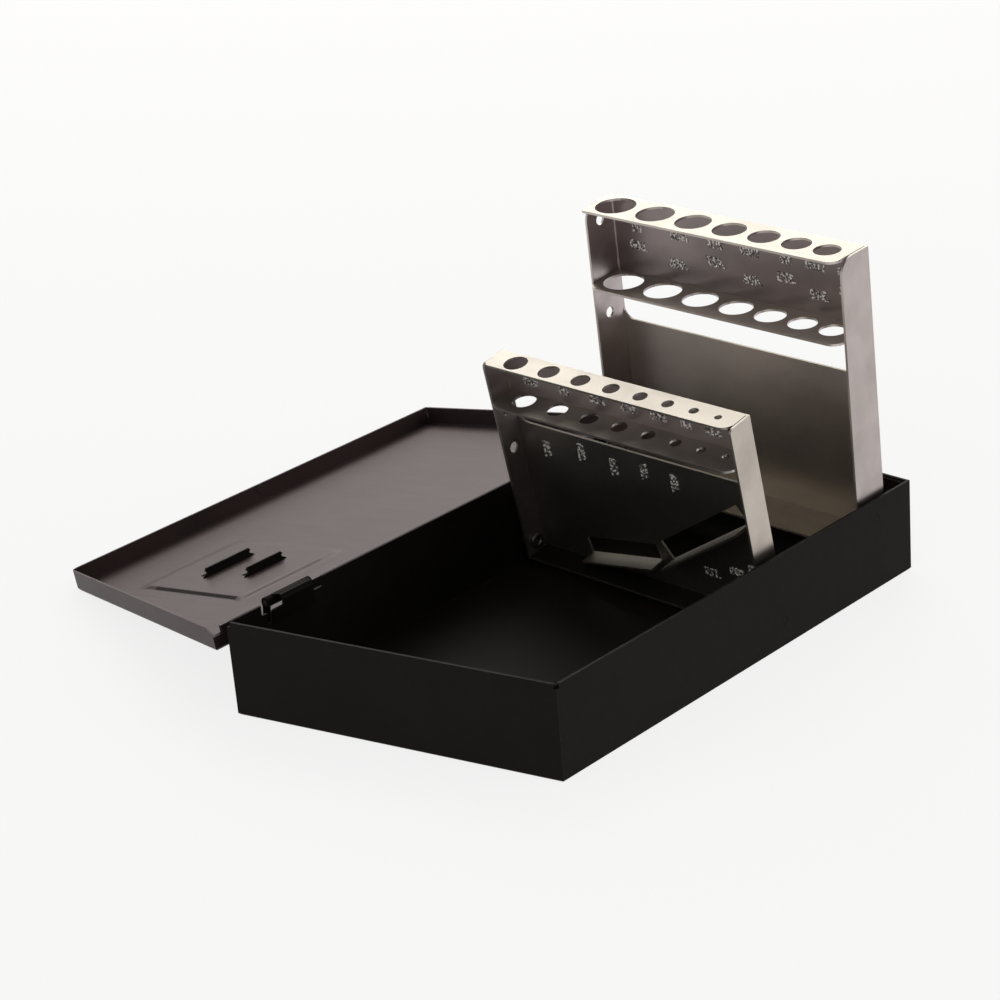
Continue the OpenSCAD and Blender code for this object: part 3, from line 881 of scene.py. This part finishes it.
    def burrs(self, finish: Any) -> Any:
        """Makes the torn points at both ends of each clip.

        A burr is a wedge: its section shrinks from the clip's thickness and a share of its
        height to a point as it leaves the clip's end.

        Returns:
            The piece.
        """
        points, faces = [], []
        base = self.plate - self.rise
        for x, length in self.clips:
            for end, way in ((self.clip_end, 1.0), (self.clip_end - length, -1.0)):
                for level, tall, reach in ((0.0, 1.5, 1.9), (2.1, 0.9, 0.7)):
                    start = len(points) * 8
                    z = base - level
                    ring = np.array([[0, 0.3], [self.sheet, 0.3], [self.sheet, -tall], [0, -tall]])
                    tip = ring * [0.25, 0.2] + [0.3, 0.1]
                    block = np.array(
                        [[x + a, end - way * 0.3, z + b] for a, b in ring]
                        + [[x + a, end + way * reach, z + b] for a, b in tip]
                    )
                    points.append(block)
                    quads = [[0, 1, 2, 3], [4, 7, 6, 5], [0, 4, 5, 1], [1, 5, 6, 2]]
                    quads += [[2, 6, 7, 3], [3, 7, 4, 0]]
                    faces += [[start + corner for corner in quad] for quad in quads]
        piece = make_piece("lid_clip_burrs", self.opened(np.vstack(points)), faces)
        face_outwards(piece)
        # The burrs take the clips' darker enamel, painted shade.
        return dress(piece, "lid", "lid_paint", finish)

    def face_kinds(self, middles: np.ndarray, normals: np.ndarray) -> np.ndarray:
        """Sorts the lid's faces.

        Returns:
            2 for the clips' faces, which take the darker clip enamel as painted shade, 0 for all
            others.
        """
        x, y, z = self.closed(middles).T
        kinds = np.zeros(len(middles))
        low = self.plate - self.rise + 0.1
        for start, length in self.clips:
            near = (x > start - 0.2) & (x < start + self.sheet + 0.2) & (z < low) & (z > 31.0)
            kinds[near & (y > self.clip_end - length - 0.2) & (y < self.clip_end + 0.2)] = 2
        return kinds


# Studio


def stand(name: str, data: Any, axes: Sequence[np.ndarray], spot: Sequence[float]) -> Any:
    """Puts a camera or lamp in the scene.

    Args:
        name: the object's name.
        data: the camera or lamp.
        axes: unit vectors to its right, upwards and backwards.
        spot: its place, in metres.

    Returns:
        The object.
    """
    holder = bpy.data.objects.new(name, data)
    bpy.context.scene.collection.objects.link(holder)
    pose = np.eye(4)
    pose[:3, :3], pose[:3, 3] = np.stack(axes, -1), spot
    holder.matrix_world = Matrix(pose.tolist())
    return holder


@dataclass
class Studio:
    """Pale floor, soft lamps and the camera at the photograph's angle."""

    azimuth: float = 45.326
    elevation: float = 23.963
    roll: float = -4.856
    distance: float = 937.34
    aim: tuple[float, float, float] = (-95.88, 62.48, 0.0)
    lit: tuple[float, float, float] = (-0.04, 0.02, 0.04)
    focal: float = 2.68085
    floor_half: float = 4.0
    floor_white: float = 0.82
    room: tuple[float, float, float] = (0.2, 0.185, 0.18)
    soft: tuple[float, float, float] = (0.42, 0.41, 0.4)

    def camera(self) -> None:
        """Places the camera on a sphere round the aim, rolled about its own axis."""
        data = bpy.data.cameras.new("camera")
        data.sensor_width = 36.0
        data.lens = 36.0 * self.focal
        data.clip_start, data.clip_end = 0.01, 50.0
        turn, rise, roll = (math.radians(a) for a in (self.azimuth, self.elevation, self.roll))
        back = np.array(
            [math.sin(turn) * math.cos(rise), -math.cos(turn) * math.cos(rise), math.sin(rise)]
        )
        right = np.array([math.cos(turn), math.sin(turn), 0.0])
        up = np.cross(back, right)
        across = math.cos(roll) * right + math.sin(roll) * up
        upright = -math.sin(roll) * right + math.cos(roll) * up
        spot = (np.array(self.aim) + back * self.distance) * MM
        bpy.context.scene.camera = stand("camera", data, (across, upright, back), spot)

    def lamp(
        self, name: str, spot: Sequence[float], size: float, power: float, colour: Sequence[float]
    ) -> None:
        """Adds a square soft lamp at spot that faces the object."""
        data = bpy.data.lights.new(name, "AREA")
        data.shape = "SQUARE"
        data.size = size
        data.energy = power
        data.color = tuple(colour)
        back = np.array(spot, float) - np.array(self.lit)
        back /= np.linalg.norm(back)
        across = np.cross([0.0, 0.0, 1.0], back)
        across /= np.linalg.norm(across)
        stand(name, data, (across, np.cross(back, across), back), spot)

    @staticmethod
    def seen(graph: Graph) -> Socket:
        """Share of the rays that see the background as white: camera, glossy, transmission."""
        path = graph.node("ShaderNodeLightPath", {}, {})
        total = path["Is Camera Ray"] + path["Is Glossy Ray"] + path["Is Transmission Ray"]
        return total.smooth(0.0, 1.0)

    def world(self) -> None:
        """White for what sees it, and a level soft fill; gloss meets a dimmer room overhead.

        Gloss sees white low behind the object, and grey above it and behind the camera.
        """
        world = bpy.data.worlds.new("studio")
        bpy.context.scene.world = world
        world.use_nodes = True
        graph = Graph(world.node_tree)
        path = graph.node("ShaderNodeLightPath", {}, {})
        way = graph.node("ShaderNodeTexCoord", {}, {})["Generated"]
        split = graph.node("ShaderNodeSeparateXYZ", {}, {0: way})
        behind = (split["Y"] - split["X"]) * 0.7071
        open_side = behind.smooth(-0.35, 0.45)
        low = 1 - split["Z"].smooth(0.45, 0.85)
        room = graph.mix(open_side * low, rgba(self.room), rgba(WHITE))
        gloss = graph.mix(path["Is Glossy Ray"], rgba(self.soft), room)
        clear = (path["Is Camera Ray"] + path["Is Transmission Ray"]).smooth(0.0, 1.0)
        colour = graph.mix(clear, gloss, rgba(WHITE))
        shader = graph.node("ShaderNodeBackground", {}, {"Color": colour, "Strength": 1.0})
        graph.node("ShaderNodeOutputWorld", {}, {"Surface": shader["Background"]})

    def floor(self) -> None:
        """A flat pale floor that keeps the object's soft shadow."""
        material, graph = new_material("floor")
        plain = graph.node(
            "ShaderNodeBsdfDiffuse", {}, {"Color": rgba((0.9, 0.9, 0.9)), "Roughness": 0.5}
        )
        white = graph.node("ShaderNodeEmission", {}, {"Color": rgba(WHITE), "Strength": 1.0})
        mixed = graph.node(
            "ShaderNodeMixShader",
            {},
            {0: self.seen(graph) * self.floor_white, 1: plain["BSDF"], 2: white["Emission"]},
        )
        graph.node("ShaderNodeOutputMaterial", {}, {"Surface": mixed["Shader"]})
        half = self.floor_half
        step = np.linspace(-half, half, 9)
        x, y = np.meshgrid(step, step, indexing="ij")
        points = np.stack([x, y, np.full_like(x, -0.02 * MM)], -1).reshape(-1, 3)
        floor = make_piece("floor", points, grid_faces(9, 9, False, False)[:, ::-1])
        floor.data.materials.append(material)

    def build(self) -> None:
        """Makes the camera, lamps, world and floor."""
        self.camera()
        self.world()
        self.floor()
        self.lamp("key", (-0.85, 0.95, 1.05), 1.3, 17.0, (1.0, 0.96, 0.92))
        self.lamp("side", (1.3, 0.75, 0.7), 0.9, 4.0, (1.0, 0.95, 0.9))
        self.lamp("fill", (0.2, -1.4, 1.2), 1.2, 2.0, (1.0, 0.97, 0.94))


# The case


@dataclass
class BitCase:
    """The whole case: sheet pieces, rivets, washers, pins and stamps."""

    rear: Rack = field(
        default_factory=lambda: Rack(
            "rear_rack", foot_y=87.2, foot_z=16.9, lean=3.5, width=103.0, height=97.2,
            shelf=70.0, sill=53.6, depth=13.7,
        )
    )
    front: Rack = field(
        default_factory=lambda: Rack(
            "front_rack", foot_y=37.55, foot_z=5.1, lean=10.72, width=100.3, height=74.9,
            shelf=60.3, sill=49.1, depth=9.5,
        )
    )
    pad: LidPad = field(default_factory=LidPad)

    def finishes(self) -> None:
        """Makes the materials."""
        warm = (1.0, 0.72, 0.74)
        paints = {
            "tray": ((0.0062, 0.0047, 0.0041), (0.0125, 0.0098, 0.0088), (0.52, 0.7), 0.09),
            "lid": ((0.0175, 0.0112, 0.0105), (0.033, 0.0228, 0.022), (0.42, 0.58), 0.48, warm),
            "hinge": ((0.0048, 0.004, 0.0036), (0.0092, 0.0074, 0.0066), (0.6, 0.74), 0.04),
            # The next two enamels, darker than the lid's, are painted shade on the pad's near and
            # hinge-side slopes.
            "lid_crease_shade": (
                (0.0095, 0.0058, 0.0052), (0.016, 0.0105, 0.0098), (0.5, 0.64), 0.14, warm,
            ),
            "lid_slope_shade": (
                (0.0135, 0.0086, 0.008), (0.025, 0.0175, 0.0168), (0.46, 0.6), 0.32, warm,
            ),
            # The clips' enamel, darker than the lid's, is painted shade on the upright clips and
            # their burrs.
            "clip": ((0.006, 0.005, 0.0045), (0.012, 0.01, 0.009), (0.45, 0.6), 0.12),
        }
        self.paint = {
            name: Enamel(f"{name}_enamel", *looks).build() for name, looks in paints.items()
        }
        self.joint_shadow = Enamel(
            "joint_shadow", (0.004, 0.0035, 0.003), (0.008, 0.007, 0.006), (0.7, 0.8), 0.0
        ).build()
        # Edge enamels lighter than their faces' enamels: painted edge highlights, with patches of
        # bare steel as wear.
        edges = {
            "tray": ((0.034, 0.0225, 0.015), (0.3, 0.215, 0.145), 0.07, 0.2),
            "lid": ((0.034, 0.026, 0.023), (0.3, 0.255, 0.23), 0.05),
            "hinge": ((0.01, 0.0075, 0.006), (0.15, 0.11, 0.08), 0.0, 0.08),
        }
        self.edge = {
            name: WornEdgeHighlight(f"{name}_rubbed_edge", *looks).build()
            for name, looks in edges.items()
        }
        leans = {"rear": 0.061, "front": 0.187}
        # One plated steel, copied for each face tone and each rack with its own base colours,
        # lighter or darker as painted light and shade; the ledges and feet are darkest.
        lit_and_shaded_tones = {
            ("rear", "foot"): ((0.17, 0.16, 0.128), (0.11, 0.103, 0.083), (0.36, 0.5)),
            ("front", "foot"): ((0.03, 0.028, 0.024), (0.02, 0.019, 0.016), (0.62, 0.74)),
            ("rear", "outer"): ((0.5, 0.445, 0.43), (0.36, 0.318, 0.302), (0.27, 0.44)),
            ("rear", "flange"): ((0.56, 0.49, 0.49), (0.34, 0.295, 0.297), (0.3, 0.46)),
            ("rear", "strip"): ((0.34, 0.29, 0.282), (0.23, 0.196, 0.19), (0.3, 0.46)),
            ("rear", "panel"): ((0.76, 0.69, 0.63), (0.55, 0.5, 0.455), (0.3, 0.46)),
            ("rear", "shelf"): ((0.72, 0.66, 0.6), (0.5, 0.455, 0.41), (0.4, 0.56)),
            ("rear", "top"): ((0.52, 0.495, 0.445), (0.46, 0.435, 0.388), (0.5, 0.64)),
            ("rear", "ledge"): ((0.19, 0.18, 0.145), (0.12, 0.112, 0.09), (0.36, 0.5)),
            ("front", "outer"): ((0.53, 0.475, 0.425), (0.38, 0.34, 0.3), (0.27, 0.44)),
            ("front", "flange"): ((0.66, 0.6, 0.6), (0.42, 0.38, 0.38), (0.3, 0.46)),
            ("front", "strip"): ((0.69, 0.59, 0.575), (0.45, 0.387, 0.378), (0.3, 0.46)),
            ("front", "panel"): ((0.47, 0.44, 0.41), (0.33, 0.31, 0.285), (0.3, 0.46)),
            ("front", "shelf"): ((0.34, 0.32, 0.285), (0.22, 0.207, 0.184), (0.4, 0.56)),
            ("front", "top"): ((0.52, 0.495, 0.445), (0.46, 0.435, 0.388), (0.5, 0.64)),
            ("front", "ledge"): ((0.15, 0.14, 0.118), (0.1, 0.094, 0.08), (0.6, 0.72)),
        }
        self.steel = {
            f"{rack}_{tone}": RolledSteel(f"{rack}_{tone}_steel", *looks, leans[rack]).build()
            for (rack, tone), looks in lit_and_shaded_tones.items()
        }
        plain = {
            "cut_edge": ((0.4, 0.36, 0.315), (0.26, 0.232, 0.2), (0.34, 0.5)),
            "sunk_stroke": ((0.1, 0.096, 0.092), (0.06, 0.058, 0.055), (0.4, 0.55)),
            "rivet": ((0.3, 0.28, 0.26), (0.16, 0.15, 0.138), (0.3, 0.48)),
            "pin": ((0.06, 0.052, 0.046), (0.035, 0.031, 0.028), (0.48, 0.62)),
        }
        for name, looks in plain.items():
            self.steel[name] = RolledSteel(f"{name}_steel", *looks).build()
        # The raised strokes' near-white spots are painted glints.
        self.raised_stroke = StruckMark(
            "raised_stroke_steel", (1.0, 0.97, 0.93), (0.1, 0.09, 0.085)
        ).build()

    def sheets(self) -> None:
        """Dresses every sheet-metal node."""
        rows = [
            ("case_tray", "tray_body", "case", "case_paint", "tray", 0.16),
            ("front_tray_leaf", "front_hinge_tray_leaf", "case", "hinge_paint", "hinge", 0.22),
            ("rear_tray_leaf", "rear_hinge_tray_leaf", "case", "hinge_paint", "hinge", 0.22),
            ("front_lid_leaf", "front_hinge_lid_leaf", "lid", "hinge_paint", "hinge", 0.22),
            ("rear_lid_leaf", "rear_hinge_lid_leaf", "lid", "hinge_paint", "hinge", 0.22),
        ]
        for *names, look, edge in rows:
            WorkedSheet(*names, edge * MM, self.paint[look], self.edge[look]).build()
        WorkedSheet(
            "lid_shell", "lid_pan", "lid", "lid_paint", 0.16 * MM, self.paint["lid"],
            self.edge["lid"], (self.paint["clip"],), self.pad.face_kinds, self.pad.round_corner,
        ).build()
        self.pad.floor(self.paint["lid"], self.paint["lid_crease_shade"], self.paint["lid_slope_shade"])
        self.pad.burrs(self.paint["clip"])
        for name, rack in (("rear", self.rear), ("front", self.front)):
            outer = self.steel[f"{name}_outer"]
            lit_and_shaded_tones = [self.steel[f"{name}_{t.name.lower()}"] for t in Tone if t > Tone.CUT]
            WorkedSheet(
                rack.body, f"{rack.body}_frame", rack.body, "rack_steel", 0.14 * MM,
                outer, self.steel["cut_edge"], tuple(lit_and_shaded_tones), rack.face_kinds,
            ).build()
            rack.seam(self.joint_shadow, "rack_steel")
            rack.bends(outer, "rack_steel")

    def pins(self) -> None:
        """Dresses the hinge pins, which keep their CAD shape."""
        for node in ("front_hinge_pin", "rear_hinge_pin"):
            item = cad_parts[node]
            item.data.materials.clear()
            item.data.materials.append(self.steel["pin"])

    @staticmethod
    def rivet_outline(length: float) -> list[tuple[float, float]]:
        """Section of a hollow rivet: from its end in the wall, over its head, into its bore."""
        seat = length - 0.9
        return [
            (0.0, 0.7), (0.0, 1.35), (0.15, 1.5), (seat, 1.5), (seat, 2.55),
            (length - 0.75, 2.68), (length - 0.35, 2.6), (length - 0.08, 2.2),
            (length, 1.75), (length - 0.12, 1.35), (length - 0.5, 1.1), (seat, 1.0),
            (length - 1.4, 0.95),
        ]

    @staticmethod
    def washer_outline(length: float) -> list[tuple[float, float]]:
        """Section of a washer with broken outer corners."""
        bore, rim, chamfer = 1.55, 3.1, min(0.15, length / 4)
        return [
            (0.0, bore), (0.0, rim - chamfer), (chamfer, rim), (length - chamfer, rim),
            (length, rim - chamfer), (length, bore), (0.0, bore),
        ]

    def rivets(self) -> None:
        """Makes the hollow rivets, painted where they end in the walls, then their washers."""
        in_wall = {"wall_finish": self.paint["tray"], "wall_steps": 2}
        for cad_kind, kind, outline, more in (
            ("pivot", "rivet", self.rivet_outline, in_wall),
            ("spacer", "washer", self.washer_outline, {}),
        ):
            for corner in ("front_left", "front_right", "rear_left", "rear_right"):
                node = f"{corner}_{cad_kind}"
                low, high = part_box(node)
                toward = 1.0 if "left" in corner else -1.0
                Turned(
                    f"{corner}_{kind}", node, "case", "rivet_steel", self.steel["rivet"],
                    outline((high[0] - low[0]) / MM), toward, **more,
                ).build()

    def stamps(self) -> None:
        """Stamps the generic bit sizes beside the holes, on both faces of each rack."""
        rear_x = (-42.5, -25.86, -10.23, 4.4, 18.02, 30.62, 42.22)
        rear_sizes = ("1/2", "15/32", "7/16", "13/32", "3/8", "11/32", "5/16")
        rear_decimals = (".500", ".468", ".437", ".406", ".375", ".343", ".312")
        rear_shifts = (1.8, 2.9, 1.9, 1.3, 2.0, 0.8, 0.8)
        fraction_height, fraction_v, decimal_levels = 2.6, 87.0, (80.9, 77.4)
        columns = zip(rear_x, rear_shifts, rear_sizes, rear_decimals)
        for i, (x, shift, size, decimal) in enumerate(columns):
            self.rear.stamps.append((size, x + shift, fraction_v, fraction_height, 0.0))
            self.rear.stamps.append((decimal, x + 1.7, decimal_levels[i % 2], 3.3, 0.0))
        front_x = (-39.63, -25.58, -12.33, 0.13, 11.8, 22.67, 32.75, 42.03)
        front_sizes = ("9/32", "1/4", "7/32", "3/16", "5/32", "1/8", "3/32", "1/16")
        shifts = (0.4, 0.8, 1.2, 1.5, 1.8, 2.1, 2.4, 2.4)
        for x, shift, size in zip(front_x, shifts, front_sizes):
            self.front.stamps.append((size, x + shift, 65.6, fraction_height, 0.0))
        upright = zip(
            front_x, (0.8, 2.0, 2.0, 2.4, 2.8), (40.9, 43.3, 41.0, 42.7, 41.7),
            (".281", ".250", ".218", ".187", ".156"),
        )
        for x, shift, v, size in upright:
            self.front.stamps.append((size, x + shift, v, 2.9, 90.0))
        for x, v, size in ((23.5, 10.7, ".125"), (34.1, 13.9, ".093"), (42.0, 17.0, ".062")):
            self.front.stamps.append((size, x, v, 2.8, 0.0))
        for rack in (self.rear, self.front):
            rack.stamp(Side.FRONT, self.raised_stroke, "rack_steel")
            rack.stamp(Side.BACK, self.steel["sunk_stroke"], "rack_steel")

    def build(self) -> None:
        """Builds everything in order."""
        self.finishes()
        self.sheets()
        self.pins()
        self.rivets()
        self.stamps()


def main() -> None:
    """Builds the studio and the case."""
    logging.basicConfig(level=logging.INFO, format="%(name)s: %(message)s")
    view = bpy.context.scene.view_settings
    view.view_transform = "Standard"
    Studio().build()
    BitCase().build()


if __name__ == "__main__":
    main()
